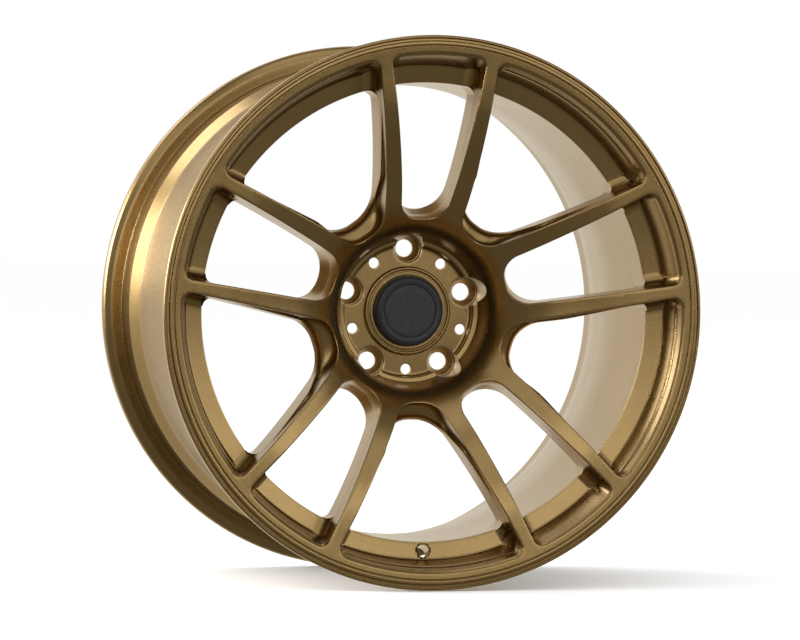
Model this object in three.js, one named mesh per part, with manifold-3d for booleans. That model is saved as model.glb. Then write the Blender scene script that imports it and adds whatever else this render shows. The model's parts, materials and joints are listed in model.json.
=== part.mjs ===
// Ten-spoke racing wheel rim, 18 x 10.5J, 5 x 114.3, offset +25, with a snap-in centre cap.
// Millimetres, +Z up. The wheel spins about Y and its front looks along -Y.
// The origin is on the spin axis, halfway between the two flanges.
import * as THREE from 'three';
import { mergeVertices } from 'three/addons/utils/BufferGeometryUtils.js';
import Module from 'manifold-3d';

const wasm = await Module();
wasm.setup();

// ---- driving dimensions ----
const INCH = 25.4;
const RIM_WIDTH = 10.5 * INCH; // between the inner faces of the flanges
const BEAD_SEAT_R = 231; // half the specified rim diameter of an 18-inch rim
const FLANGE_HEIGHT = 17.3; // J flange
const FLANGE_WIDTH = 13;
const OFFSET = 25; // mounting face, in front of the middle of the rim
const LUG_COUNT = 5;
const LUG_PITCH_R = 114.3 / 2;
const CENTRE_BORE_R = 73.1 / 2;

const OVERALL_WIDTH = RIM_WIDTH + 2 * FLANGE_WIDTH;
const FLANGE_R = BEAD_SEAT_R + FLANGE_HEIGHT;
const MOUNT_DEPTH = OVERALL_WIDTH / 2 - OFFSET; // depths count back from the front lip plane
const REAR_FACE = OVERALL_WIDTH;
const REAR_BEAD = OVERALL_WIDTH - FLANGE_WIDTH;

const GAP = 0.3; // between neighbouring regions of the casting
const RING_SIDES = 60;
const AHEAD = -5; // cutters run from this depth, clear of the front,
const BEHIND = 125; // to this depth, clear of the mounting face
const SECTOR = (2 * Math.PI) / LUG_COUNT;
const TOP = Math.PI / 2; // the first lug hole is straight up

// depths at which the barrel is divided, each the front end of the region behind it
const BEAD_SPLIT = FLANGE_WIDTH;
const WELL_SPLIT = 46;
const REAR_WELL_SPLIT = 236;

const SPOKE_FOOT_R = 81;
const PAD_DEPTH = 105; // front of the hub pad
const COLLAR_R = 41;
const CAP_BORE_R = 30.8;

// ---- materials ----
const bronze = () => new THREE.MeshStandardMaterial({ color: 0x9a7a48, roughness: 0.42, metalness: 0.85 });
const blackPlastic = () => new THREE.MeshStandardMaterial({ color: 0x262626, roughness: 0.45, metalness: 0 });
const springSteel = () => new THREE.MeshStandardMaterial({ color: 0xb4b6ba, roughness: 0.3, metalness: 1 });

// ---- helpers ----
const depthToY = (depth) => depth - OVERALL_WIDTH / 2;

// Turns a closed outline of [radius, depth] points about the spin axis. The radii are those of the
// flats of the faceted ring, so it stands on a flat at its full radius.
function turned(points, sides = RING_SIDES) {
  const toCorner = 1 / Math.cos(Math.PI / sides);
  const outline = points.map(([r, depth]) => new THREE.Vector2(r * toCorner, depthToY(depth)));
  if (THREE.ShapeUtils.area(outline) < 0) outline.reverse();
  if (outline.every((p) => p.x > 0)) outline.push(outline[0].clone());
  return new THREE.LatheGeometry(outline, sides, Math.PI / sides);
}

// A closed manifold solid from any closed geometry.
function solid(geometry) {
  const bare = geometry.clone();
  bare.deleteAttribute('normal');
  bare.deleteAttribute('uv');
  const merged = mergeVertices(bare);
  const index = merged.getIndex().array;
  const triVerts = [];
  for (let i = 0; i < index.length; i += 3) {
    const [a, b, c] = index.slice(i, i + 3);
    if (a !== b && b !== c && c !== a) triVerts.push(a, b, c);
  }
  return new wasm.Manifold(
    new wasm.Mesh({
      numProp: 3,
      vertProperties: Float32Array.from(merged.getAttribute('position').array),
      triVerts: Uint32Array.from(triVerts),
    }),
  );
}

function geometryOf(manifold) {
  const mesh = manifold.getMesh();
  const geometry = new THREE.BufferGeometry();
  geometry.setAttribute('position', new THREE.BufferAttribute(mesh.vertProperties, 3));
  geometry.setIndex(new THREE.BufferAttribute(mesh.triVerts, 1));
  geometry.computeVertexNormals();
  return geometry;
}

// An outline whose corners are [along, across, corner radius], as a shape with rounded corners.
function roundedShape(corners, arcSteps = 4) {
  const points = [];
  corners.forEach(([x, y, radius], i) => {
    const corner = new THREE.Vector2(x, y);
    if (!radius) {
      points.push(corner);
      return;
    }
    const [px, py] = corners[(i + corners.length - 1) % corners.length];
    const [nx, ny] = corners[(i + 1) % corners.length];
    const toPrev = new THREE.Vector2(px, py).sub(corner).normalize();
    const toNext = new THREE.Vector2(nx, ny).sub(corner).normalize();
    const half = Math.acos(THREE.MathUtils.clamp(toPrev.dot(toNext), -1, 1)) / 2;
    const reach = radius / Math.tan(half);
    const start = corner.clone().addScaledVector(toPrev, reach);
    const end = corner.clone().addScaledVector(toNext, reach);
    const curve = new THREE.QuadraticBezierCurve(start, corner, end);
    points.push(...curve.getPoints(arcSteps));
  });
  return new THREE.Shape(points);
}

// A prism along the spin axis. Its outline is drawn with x outwards and y across, then turned to angle.
function prism(shape, angle, fromDepth = AHEAD, toDepth = BEHIND) {
  const geometry = new THREE.ExtrudeGeometry(shape, {
    depth: toDepth - fromDepth,
    bevelEnabled: false,
  });
  geometry.rotateX(Math.PI / 2); // extruded towards -Y, outline in the XZ plane
  geometry.rotateY(-angle);
  geometry.translate(0, depthToY(toDepth), 0);
  return solid(geometry);
}

// A turned cutter on an axis parallel to the spin axis, from [radius, depth] points.
function turnedAt(points, radius, angle, sides = 20) {
  const geometry = turned(points, sides);
  geometry.translate(radius * Math.cos(angle), 0, radius * Math.sin(angle));
  return solid(geometry);
}

const mirrored = (half) => [...half, ...half.map(([x, y, r]) => [x, -y, r]).reverse()];
const union = (solids) => solids.reduce((all, next) => all.add(next));

const wheel = new THREE.Group();
const casting = new THREE.Group();
const centreCap = new THREE.Group();
wheel.add(casting, centreCap);

function addPiece(group, name, geometry, material) {
  const mesh = new THREE.Mesh(geometry, material);
  mesh.name = name;
  group.add(mesh);
}

// ---- barrel: the inner surface that the spokes meet, then its five turned regions ----
const LAND_R = 233.3; // inner edge of the flat land on the front lip
const STRIP_OUTER = [222, 32]; // flat strip between the spokes, where the valve hole is
const STRIP_INNER = [207.5, 35.2];
const BARREL_INNER_R = 206.7;
const SPOKE_BACK_END = 50;

const wallBehindLip = [[LAND_R, 0.5], [230.4, 3], [227.2, BEAD_SPLIT]];
const bowlWall = [[225.2, 20.5], STRIP_OUTER, STRIP_INNER, [BARREL_INNER_R, 36.5]];

const frontFlange = [
  ...wallBehindLip,
  [BEAD_SEAT_R, BEAD_SPLIT], [238, BEAD_SPLIT], [244, 11.6], [247.2, 8.2],
  [FLANGE_R, 4], [247.8, 1], [246.6, 0], [244.6, 0], [242, 1], [LAND_R + 4, 0.2],
];

const frontBeadSeat = [
  [227.1, BEAD_SPLIT + GAP],
  ...bowlWall,
  [BARREL_INNER_R, WELL_SPLIT],
  [221, WELL_SPLIT], [229, 38.5], [229.4, 33], [BEAD_SEAT_R, BEAD_SPLIT + GAP],
];

const dropCentre = [
  [BARREL_INNER_R, WELL_SPLIT + GAP], [BARREL_INNER_R, 150], [216.5, REAR_WELL_SPLIT],
  [222, REAR_WELL_SPLIT], [212, 165], [212, 60], [215, 51.5], [220.7, WELL_SPLIT + GAP],
];

const rearBeadSeat = [
  [216.6, REAR_WELL_SPLIT + GAP], [225.3, 268], [225.5, REAR_BEAD],
  [BEAD_SEAT_R, REAR_BEAD], [229.4, 260], [229.6, 254], [222.2, REAR_WELL_SPLIT + GAP],
];

const rearFlange = [
  [BEAD_SEAT_R, REAR_BEAD + GAP], [225.5, REAR_BEAD + GAP], [226, REAR_FACE - 5], [229, REAR_FACE],
  [246.5, REAR_FACE], [FLANGE_R, REAR_FACE - 2], [FLANGE_R, REAR_FACE - 6],
  [244.5, REAR_BEAD + 1.2], [238, REAR_BEAD + GAP],
];

// The valve hole goes square through the strip at the bottom of the wheel.
const VALVE_HOLE_R = 5.65;
const VALVE_HOLE_PITCH = 214.7;
const VALVE_HOLE_DEPTH = 33.6;
const VALVE_TILT = Math.atan2(STRIP_INNER[1] - STRIP_OUTER[1], STRIP_OUTER[0] - STRIP_INNER[0]);
const VALVE_LENGTH = 60;

function valveHole() {
  const geometry = new THREE.CylinderGeometry(VALVE_HOLE_R, VALVE_HOLE_R, VALVE_LENGTH, 20);
  geometry.rotateX(-VALVE_TILT);
  geometry.translate(0, depthToY(VALVE_HOLE_DEPTH), -VALVE_HOLE_PITCH);
  return solid(geometry);
}

addPiece(casting, 'front_flange', turned(frontFlange), bronze());
addPiece(casting, 'front_bead_seat', geometryOf(solid(turned(frontBeadSeat)).subtract(valveHole())), bronze());
addPiece(casting, 'drop_centre', geometryOf(solid(turned(dropCentre)).subtract(valveHole())), bronze());
addPiece(casting, 'rear_bead_seat', turned(rearBeadSeat), bronze());
addPiece(casting, 'rear_flange', turned(rearFlange), bronze());

// ---- spokes ----
const FACE = [[82, 58.5], [100, 43], [120, 30], [140, 20.5], [160, 13], [180, 8], [200, 4], [LAND_R, 0.8]];
const BACK = [[LAND_R, SPOKE_BACK_END], [200, SPOKE_BACK_END], [160, 55], [120, 70], [100, 81], [88, 92]];
const FOOT_FRONT = 59.5;
const FOOT_BACK = 98;

const web = solid(turned([[SPOKE_FOOT_R, FOOT_FRONT], ...FACE, ...BACK, [SPOKE_FOOT_R, FOOT_BACK]]));

// everything from the barrel's inner surface outwards, grown by the gap
const barrelRoom = solid(turned([
  [LAND_R - GAP, -1],
  ...[...wallBehindLip, ...bowlWall].map(([r, depth]) => [r - GAP, depth - GAP]),
  [BARREL_INNER_R - GAP, 60], [260, 60], [260, -1],
]));

// Window outlines: x outwards along the window's centre line, y across it.
const WINDOW_OUTER_X = 227.5;
const WINDOW_CORNER = 9;
const narrowWindow = roundedShape(mirrored([
  [84, 20.2, 13], [WINDOW_OUTER_X, 44.4, WINDOW_CORNER],
]));
const narrowWindowBack = roundedShape(mirrored([
  [93.5, 21.2, 13], [WINDOW_OUTER_X, 43.6, WINDOW_CORNER],
]));
const LARGE_OUTER_R = 231.5;
const largeWindow = roundedShape(mirrored([
  [81.5, 15.9, 12], [214.3, 87.9, WINDOW_CORNER], [LARGE_OUTER_R, 30, 0],
]));
const largeWindowBack = roundedShape(mirrored([
  [98.5, 21.5, 13], [150, 51, 0], [213.4, 85.9, WINDOW_CORNER], [LARGE_OUTER_R, 30, 0],
]));

// Near the face a window has its front outline, down to a ledge that follows the face.
const LEDGE_DROP = 11;
const nearFace = solid(turned([
  [60, AHEAD], [60, 75 + LEDGE_DROP], ...FACE.map(([r, depth]) => [r, depth + LEDGE_DROP]),
  [245, LEDGE_DROP], [245, AHEAD],
]));

// Past its rounded outer corners a window is as long as the barrel lets it be.
const narrowRelief = roundedShape(mirrored([[216, 32, 0], [245, 36, 0]]));
const largeRelief = roundedShape(mirrored([[150, 40, 0], [212, 76, 0], [232, 82, 0], [250, 60, 0]]));

function windowCut(front, back, relief, angle) {
  return prism(front, angle).intersect(nearFace).add(prism(back, angle)).add(prism(relief, angle));
}

const sectors = [...Array(LUG_COUNT).keys()];
const windows = union(sectors.flatMap((k) => [
  windowCut(narrowWindow, narrowWindowBack, narrowRelief, TOP + k * SECTOR),
  windowCut(largeWindow, largeWindowBack, largeRelief, TOP + (k + 0.5) * SECTOR),
]));
const spider = web.subtract(barrelRoom).subtract(windows);

// The wedge around one spoke, between the centre lines of the windows on its two sides.
function wedge(angle, halfAngle) {
  const apex = GAP / 2 / Math.sin(halfAngle);
  const reach = 300;
  const side = reach * Math.tan(halfAngle);
  const shape = new THREE.Shape([
    new THREE.Vector2(apex, 0),
    new THREE.Vector2(apex + reach, -side),
    new THREE.Vector2(apex + reach, side),
  ]);
  return prism(shape, angle);
}

for (let i = 0; i < 2 * LUG_COUNT; i += 1) {
  const angle = TOP + (i + 0.5) * (SECTOR / 2);
  const spoke = spider.intersect(wedge(angle, SECTOR / 4));
  addPiece(casting, `spoke_${String(i + 1).padStart(2, '0')}`, geometryOf(spoke), bronze());
}

// ---- hub: five segments, each from one lug hole to the next, and the collar round the cap ----
const PAD_R = 59.5;
const BOSS_BACK_R = 73;
const CAP_STEP_DEPTH = 109.3; // the cap's legs snap behind this step in the bore
const hubProfile = [
  [CAP_BORE_R, PAD_DEPTH], [PAD_R, PAD_DEPTH], [61.5, 98], [65.3, 96.2], [70.5, 76],
  [SPOKE_FOOT_R - 6, 66], [SPOKE_FOOT_R - GAP, FOOT_FRONT + 0.4],
  [SPOKE_FOOT_R - GAP, FOOT_BACK], [BOSS_BACK_R + 3, 112], [BOSS_BACK_R, MOUNT_DEPTH],
  [CENTRE_BORE_R, MOUNT_DEPTH], [CENTRE_BORE_R, CAP_STEP_DEPTH], [CAP_BORE_R, CAP_STEP_DEPTH],
];

// A lug hole: counterbore, 60 degree seat, and clearance hole for the stud.
const COUNTERBORE_R = 13.5;
const SEAT_R = 12.3;
const SEAT_DEPTH = 110.8;
const STUD_HOLE_R = 8;
const STUD_HOLE_DEPTH = 118.2;
const HOLE_CUT_START = 40; // clear of the hub's front beside the lug holes
const lugCut = [
  [0, HOLE_CUT_START], [COUNTERBORE_R, HOLE_CUT_START], [COUNTERBORE_R, SEAT_DEPTH], [SEAT_R, SEAT_DEPTH],
  [STUD_HOLE_R, STUD_HOLE_DEPTH], [STUD_HOLE_R, BEHIND], [0, BEHIND],
];

const SMALL_HOLE_R = 4.8;
const SMALL_HOLE_PITCH = 53.5;
const smallHoleCut = [
  [0, HOLE_CUT_START], [SMALL_HOLE_R, HOLE_CUT_START], [SMALL_HOLE_R, BEHIND], [0, BEHIND],
];

const POCKET_FLOOR = 108.5;
const pocketShape = roundedShape(mirrored([[43.5, 9, 4], [67, 16.5, 5]]), 3);

const hub = solid(turned(hubProfile));
for (let k = 0; k < LUG_COUNT; k += 1) {
  const lugAngle = TOP + k * SECTOR;
  const middle = lugAngle + SECTOR / 2;
  const segment = hub
    .intersect(wedge(middle, SECTOR / 2))
    .subtract(turnedAt(lugCut, LUG_PITCH_R, lugAngle))
    .subtract(turnedAt(lugCut, LUG_PITCH_R, lugAngle + SECTOR))
    .subtract(turnedAt(smallHoleCut, SMALL_HOLE_PITCH, middle, 16))
    .subtract(prism(pocketShape, middle, POCKET_FLOOR));
  addPiece(casting, `hub_segment_${k + 1}`, geometryOf(segment), bronze());
}

const COLLAR_TOP = 100.6;
const CAP_SEAT_DEPTH = 102.8;
const boreCollar = [
  [CAP_BORE_R, PAD_DEPTH - GAP], [COLLAR_R, PAD_DEPTH - GAP], [40.4, 101.6], [39.2, COLLAR_TOP],
  [38, COLLAR_TOP + 0.2], [37, 102.3], [36, 102.3], [35, COLLAR_TOP + 0.4], [32.6, COLLAR_TOP + 0.4],
  [32.6, CAP_SEAT_DEPTH], [CAP_BORE_R, CAP_SEAT_DEPTH],
];
addPiece(casting, 'bore_collar', turned(boreCollar, 40), bronze());

// ---- centre cap ----
const CAP_SIDES = 36;
const CAP_R = 32.2;
const CAP_UNDER = CAP_SEAT_DEPTH - GAP;
const LEG_R = 29.9;
const LEG_INNER_R = 27.9;
const LEG_END = 113;
const INSERT_R = 24;
const INSERT_FLOOR = 94.2;
const capOutline = [
  [0, INSERT_FLOOR], [INSERT_R + GAP, INSERT_FLOOR], [INSERT_R + GAP, 91.9], [28.6, 91.6],
  [30.8, 92.6], [31.9, 95.2], [CAP_R, 99], [CAP_R, CAP_UNDER], [LEG_R, CAP_UNDER],
  [LEG_R, 109.8], [30.4, 110.4], [30.4, 111.2], [29.4, LEG_END], [LEG_INNER_R, LEG_END],
  [LEG_INNER_R, 97], [0, 97],
];
const LEG_COUNT = 6;
const SLOT_WIDTH = 6;
const SLOT_START = 103.6;
const SLOT_END = LEG_END + 2; // clear of the legs' ends
const SLOT_REACH = 10; // across the skirt's wall

// Slots across the skirt divide it into the snap legs.
function legSlot(angle) {
  const length = SLOT_END - SLOT_START;
  const geometry = new THREE.BoxGeometry(SLOT_REACH, length, SLOT_WIDTH);
  geometry.translate((LEG_INNER_R + LEG_R) / 2, depthToY(SLOT_START) + length / 2, 0);
  geometry.rotateY(-angle);
  return solid(geometry);
}
const legSlots = union([...Array(LEG_COUNT).keys()].map((i) => legSlot((i * 2 * Math.PI) / LEG_COUNT)));
const capBody = solid(turned(capOutline, CAP_SIDES)).subtract(legSlots);
addPiece(centreCap, 'cap_body', geometryOf(capBody), blackPlastic());

const insertOutline = [
  [0, 91.7], [23.2, 91.9], [INSERT_R, 92.5], [INSERT_R, INSERT_FLOOR - GAP], [0, INSERT_FLOOR - GAP],
];
addPiece(centreCap, 'cap_insert', geometryOf(solid(turned(insertOutline, CAP_SIDES))), blackPlastic());

// The open wire ring inside the legs pushes them outwards.
const WIRE_R = 0.9;
const WIRE_RING_R = 26.6;
const WIRE_DEPTH = 108;
const WIRE_OPENING = THREE.MathUtils.degToRad(24);
class WireArc extends THREE.Curve {
  getPoint(t, target = new THREE.Vector3()) {
    const angle = WIRE_OPENING / 2 + t * (2 * Math.PI - WIRE_OPENING) - Math.PI / 2;
    return target.set(WIRE_RING_R * Math.cos(angle), depthToY(WIRE_DEPTH), WIRE_RING_R * Math.sin(angle));
  }
}
const wireSection = new THREE.Shape(
  [...Array(6).keys()].map((i) => {
    const angle = (i * Math.PI) / 3;
    return new THREE.Vector2(WIRE_R * Math.cos(angle), WIRE_R * Math.sin(angle));
  }),
);
const wire = new THREE.ExtrudeGeometry(wireSection, { steps: 24, extrudePath: new WireArc(), bevelEnabled: false });
addPiece(centreCap, 'cap_spring_ring', geometryOf(solid(wire)), springSteel());

export default wheel;
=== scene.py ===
"""Ten-spoke racing wheel rim in satin bronze, with a black snap-in centre cap.

Lengths are in millimetres until a mesh is made. A depth counts back from the plane of the front lip,
and an angle turns about the spin axis, counter-clockwise as seen from the front, from +X.
"""
import json
import math

import bmesh
import bpy
import numpy as np
from mathutils import Matrix, Quaternion, Vector
from mathutils.geometry import delaunay_2d_cdt


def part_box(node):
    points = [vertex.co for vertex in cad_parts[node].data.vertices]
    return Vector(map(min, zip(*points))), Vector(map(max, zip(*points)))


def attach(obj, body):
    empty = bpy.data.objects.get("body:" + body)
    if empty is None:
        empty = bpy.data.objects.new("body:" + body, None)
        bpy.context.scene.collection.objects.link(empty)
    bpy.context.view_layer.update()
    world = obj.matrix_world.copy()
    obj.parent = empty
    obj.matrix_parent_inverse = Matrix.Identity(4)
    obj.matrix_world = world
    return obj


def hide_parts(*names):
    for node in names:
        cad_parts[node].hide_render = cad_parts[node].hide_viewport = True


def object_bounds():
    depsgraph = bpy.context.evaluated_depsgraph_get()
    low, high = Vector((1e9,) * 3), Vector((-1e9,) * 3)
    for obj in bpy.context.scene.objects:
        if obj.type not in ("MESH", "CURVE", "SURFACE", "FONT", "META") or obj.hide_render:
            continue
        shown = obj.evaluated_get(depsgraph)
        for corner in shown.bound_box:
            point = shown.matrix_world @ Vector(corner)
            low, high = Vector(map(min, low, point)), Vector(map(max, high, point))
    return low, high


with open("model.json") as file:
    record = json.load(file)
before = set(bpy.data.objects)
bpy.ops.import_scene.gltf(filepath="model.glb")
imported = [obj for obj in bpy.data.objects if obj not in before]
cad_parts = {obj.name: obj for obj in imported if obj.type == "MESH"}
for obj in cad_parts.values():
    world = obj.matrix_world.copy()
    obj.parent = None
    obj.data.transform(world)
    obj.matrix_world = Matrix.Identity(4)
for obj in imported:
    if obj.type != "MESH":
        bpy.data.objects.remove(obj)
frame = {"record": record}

CAD_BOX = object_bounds()
MM = 0.001
LIP_Y = CAD_BOX[0].y
LIP_R = CAD_BOX[1].x / MM
WIDTH = (CAD_BOX[1].y - LIP_Y) / MM


def depth_of(node, end):
    """Depth of a CAD node's front (end 0) or back (end 1)."""
    return (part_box(node)[end].y - LIP_Y) / MM


MOUNT_DEPTH = depth_of("hub_segment_1", 1)
CAP_FRONT = depth_of("cap_insert", 0)
CAP_BACK = depth_of("cap_body", 1)
CAP_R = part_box("cap_body")[1].x / MM

LUGS = 5
TOP = math.pi / 2
HALF_SECTOR = math.pi / LUGS
RIM_STEPS = 48  # facets of a turned surface in one half sector, where it is wide
HUB_STEPS = 40  # and near the hub
CREASE = math.radians(32)  # faces that meet at more than this keep a sharp edge


# ---------------------------------------------------------------- shapes


def smooth_profile(points):
    """Depth as a function of radius: a monotone cubic through (radius, depth) points."""
    x, y = np.array(points, float).T
    step = np.diff(x)
    slope = np.diff(y) / step
    tangent = np.concatenate([slope[:1], np.zeros(len(x) - 2), slope[-1:]])
    same_way = slope[:-1] * slope[1:] > 0
    tangent[1:-1][same_way] = (2 * slope[:-1] * slope[1:])[same_way] / (slope[:-1] + slope[1:])[same_way]

    def at(radius):
        r = np.clip(radius, x[0], x[-1])
        i = np.clip(np.searchsorted(x, r) - 1, 0, len(step) - 1)
        t = (r - x[i]) / step[i]
        ends = (2 * t**3 - 3 * t**2 + 1) * y[i] + (3 * t**2 - 2 * t**3) * y[i + 1]
        return ends + step[i] * ((t**3 - 2 * t**2 + t) * tangent[i] + (t**3 - t**2) * tangent[i + 1])

    return at


ARC_STEP = math.radians(14)
ARC_LONGEST = 5  # a facet of an arc is neither wider than ARC_STEP nor longer than this


def rounded(corners):
    """An open line through (x, y, corner radius) corners, with each corner made an arc."""
    points = []
    for i, (x, y, radius) in enumerate(corners):
        corner = np.array([x, y], float)
        if not radius or i in (0, len(corners) - 1):
            points.append(corner)
            continue
        back = np.array(corners[i - 1][:2]) - corner
        on = np.array(corners[i + 1][:2]) - corner
        back, on = back / np.linalg.norm(back), on / np.linalg.norm(on)
        half = math.acos(max(-1, min(1, back @ on))) / 2
        centre = corner + (back + on) / np.linalg.norm(back + on) * radius / math.sin(half)
        first, last = (corner + way * radius / math.tan(half) - centre for way in (back, on))
        turn = math.pi - 2 * half
        sign = 1 if first[0] * last[1] - first[1] * last[0] > 0 else -1
        facets = math.ceil(max(turn / ARC_STEP, turn * radius / ARC_LONGEST))
        for t in np.linspace(0, sign * turn, facets + 1):
            c, s = math.cos(t), math.sin(t)
            points.append(centre + np.array([c * first[0] - s * first[1], s * first[0] + c * first[1]]))
    return np.array(points)


def subdivided(line, longest):
    """The same line with no facet longer than longest."""
    out = [line[0]]
    for a, b in zip(line[:-1], line[1:]):
        n = max(1, math.ceil(np.linalg.norm(b - a) / longest))
        out += [a + (b - a) * k / n for k in range(1, n + 1)]
    return np.array(out)


def arc(centre, radius, start, end, count):
    t = np.linspace(start, end, count)
    return np.stack([centre[0] + radius * np.cos(t), centre[1] + radius * np.sin(t)], 1)


def turn_plan(plan, angle, flip=False):
    """Turns plan points about the spin axis; flip first mirrors them across their own centre line."""
    x, y = plan[:, 0], -plan[:, 1] if flip else plan[:, 1]
    c, s = math.cos(angle), math.sin(angle)
    return np.stack([c * x - s * y, s * x + c * y], 1)


class Skin:
    """Points and faces of one mesh. A point is (x, z, depth) in millimetres."""

    def __init__(self):
        self.points, self.faces = [], []

    def add(self, points, faces):
        start = len(self.points)
        self.points += [tuple(p) for p in points]
        self.faces += [tuple(start + i for i in face) for face in faces]

    def rows(self, rows, closed=False):
        """Quads between rows of (x, z, depth) points, each row as long as the next."""
        n = len(rows[0])
        faces = []
        for j in range(len(rows) - 1):
            for i in range(n if closed else n - 1):
                k = (i + 1) % n
                faces.append((j * n + i, j * n + k, (j + 1) * n + k, (j + 1) * n + i))
        self.add(np.concatenate(rows), faces)

    def lathe(self, profile, steps, closed=False):
        """Turns (radius, depth) points right round the spin axis."""
        angles = TOP + np.arange(steps) * 2 * math.pi / steps
        rows = [
            np.stack([r * np.cos(angles), r * np.sin(angles), np.full(steps, d)], 1)
            for r, d in (list(profile) + [profile[0]] if closed else profile)
        ]
        self.rows(rows, closed=True)

    def repeat_half_sector(self):
        """Mirrors the half sector that starts at the top, and copies both halves to each lug."""
        points, faces = np.array(self.points), list(self.faces)
        self.points, self.faces = [], []
        for k in range(LUGS):
            for flip in (False, True):
                plan = points[:, :2] * ([-1, 1] if flip else [1, 1])
                turned = turn_plan(plan, 2 * k * HALF_SECTOR)
                copied = [f[::-1] for f in faces] if flip else faces
                self.add(np.column_stack([turned, points[:, 2]]), copied)

    def sheet(self, outline, inner, depth, front):
        """Fills a plan outline with triangles through the inner points, at depth(radius)."""
        plan = [Vector(p) for p in np.concatenate([outline, inner])]
        n = len(outline)
        found = delaunay_2d_cdt(plan, [], [list(range(n))], 1, 1e-7)
        flat = np.array([tuple(v) for v in found[0]])
        faces = []
        for a, b, c in found[2]:
            u, v = flat[b] - flat[a], flat[c] - flat[a]
            ccw = u[0] * v[1] - u[1] * v[0] > 0
            faces.append((a, b, c) if ccw == front else (a, c, b))
        self.add(np.column_stack([flat, depth(np.hypot(*flat.T))]), faces)

    def make(self, name, weld=0.01):
        """Makes the object, with points closer than weld joined."""
        mesh = bpy.data.meshes.new(name)
        x, z, depth = np.array(self.points).T
        places = np.column_stack([x * MM, LIP_Y + depth * MM, z * MM])
        mesh.from_pydata(places.tolist(), [], self.faces)
        bm = bmesh.new()
        bm.from_mesh(mesh)
        bmesh.ops.remove_doubles(bm, verts=bm.verts, dist=weld * MM)
        bmesh.ops.dissolve_degenerate(bm, edges=bm.edges, dist=0.2 * weld * MM)
        bmesh.ops.recalc_face_normals(bm, faces=bm.faces)
        bm.to_mesh(mesh)
        bm.free()
        mesh.shade_smooth()
        mesh.set_sharp_from_angle(angle=CREASE)
        piece = bpy.data.objects.new(name, mesh)
        bpy.context.scene.collection.objects.link(piece)
        return piece


def cut(piece, cutter):
    """Subtracts a closed cutter from a closed piece, and removes the cutter."""
    boolean = piece.modifiers.new("cut", "BOOLEAN")
    boolean.operation, boolean.solver, boolean.object = "DIFFERENCE", "EXACT", cutter
    evaluated = piece.evaluated_get(bpy.context.evaluated_depsgraph_get())
    done = bpy.data.meshes.new_from_object(evaluated)
    piece.modifiers.clear()
    piece.data = done
    bpy.data.objects.remove(cutter)
    done.shade_smooth()
    done.set_sharp_from_angle(angle=CREASE)


def even_normals(piece):
    """Flat faces keep their own direction right up to the rounded edges beside them."""
    weighted = piece.modifiers.new("even_normals", "WEIGHTED_NORMAL")
    weighted.keep_sharp = True


# ---------------------------------------------------------------- casting: surfaces of revolution

PAD_DEPTH = 105
PAD_EDGE_R = 59.4
COLLAR_R = 41
BORE_BACK_R = 38.4
LEDGE_R = 65.2
LAND_R = 237.5

face_depth = smooth_profile([
    (COLLAR_R, PAD_DEPTH), (PAD_EDGE_R - 1.4, PAD_DEPTH), (PAD_EDGE_R - 0.4, PAD_DEPTH - 0.3),
    (PAD_EDGE_R + 0.3, PAD_DEPTH - 1.2), (60.2, 101), (60.6, 98.4), (61.2, 97.1), (62.2, 96.6),
    (LEDGE_R - 0.7, 96.4), (LEDGE_R, 96), (65.8, 94.2), (67.5, 88), (71, 76), (76, 66), (82, 58.5),
    (90, 51), (100, 43), (120, 30), (140, 20.5), (160, 13), (175, 8.6), (190, 5.2), (205, 3.4), (220, 2),
    (233.3, 0.7), (LAND_R, 0.3),
])
# Radii of the rings of points on the front face, closest together where it is steep.
FACE_RINGS = np.concatenate([
    np.arange(COLLAR_R, 57, 2.2),
    [58, 58.5, 59, 59.35, 59.7, 59.95, 60.2, 60.4, 60.6, 60.9, 61.3, 61.9, 63],
    [64, 64.6, 64.9, 65.2, 65.5, 65.8, 66.4],
    np.arange(67.2, 82, 1.2), np.arange(82.5, 100, 2), np.arange(100, 180, 3),
    np.arange(181, 200, 2), np.arange(200, 232, 4), [234.6, 236, LAND_R],
])

# The back of the spokes, without and with the sweep where it meets the barrel.
SPOKE_BACK = [(88, 92), (93.5, 88.4), (100, 83.5), (120, 70), (140, 61), (160, 55), (180, 51.5)]
back_plain = smooth_profile([(84, 94.5), *SPOKE_BACK, (200, 50), (240, 50)])
BARREL_R = 206.7
HIDDEN = 0.05  # how far a fillet runs into the barrel that it fades into
back_depth = smooth_profile([
    (BORE_BACK_R, MOUNT_DEPTH), (71.8, MOUNT_DEPTH), (72.7, MOUNT_DEPTH - 0.4), (73.1, MOUNT_DEPTH - 1.4),
    (74.6, 116), (76, 112), (78.5, 103.5), (81, 98.5), (84, 94.8), *SPOKE_BACK, (194, 50.6), (200, 51.6),
    (204, 54.5), (206, 58.5), (BARREL_R + HIDDEN, 62), (208, 64),
])
BACK_RINGS = np.concatenate([
    np.arange(BORE_BACK_R, 71, 3),
    [71.8, 72.3, 72.7, 73.1, 73.8, 74.6, 76, 77.2, 78.5, 79.7, 81, 82.5, 84, 86],
    np.arange(88, 190, 4), [192, 196, 199, 201, 202.5, 204, 205, 206, 206.5, BARREL_R + HIDDEN],
])

# The strip between the spokes, just inside the front of the barrel.
STRIP_EDGE_R = 207.5
STRIP_EDGE_DEPTH = 35.2
STRIP_SLOPE = 0.22
STRIP_OUT_R = 223.3
INNER_CORNER = 7  # radius where its inner edge turns along a spoke
RING_FILLET = 2.4  # at its outer edge
END_WIDTH = 10.5  # of the fillet at each end, an arc that meets the flat of the strip at END_ANGLE
END_ANGLE = math.radians(14)
END_R = END_WIDTH / (1 - math.sin(END_ANGLE))
END_RISE = END_R * math.cos(END_ANGLE)


def strip_depth(radius):
    return STRIP_EDGE_DEPTH - (radius - STRIP_EDGE_R) * STRIP_SLOPE


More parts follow.
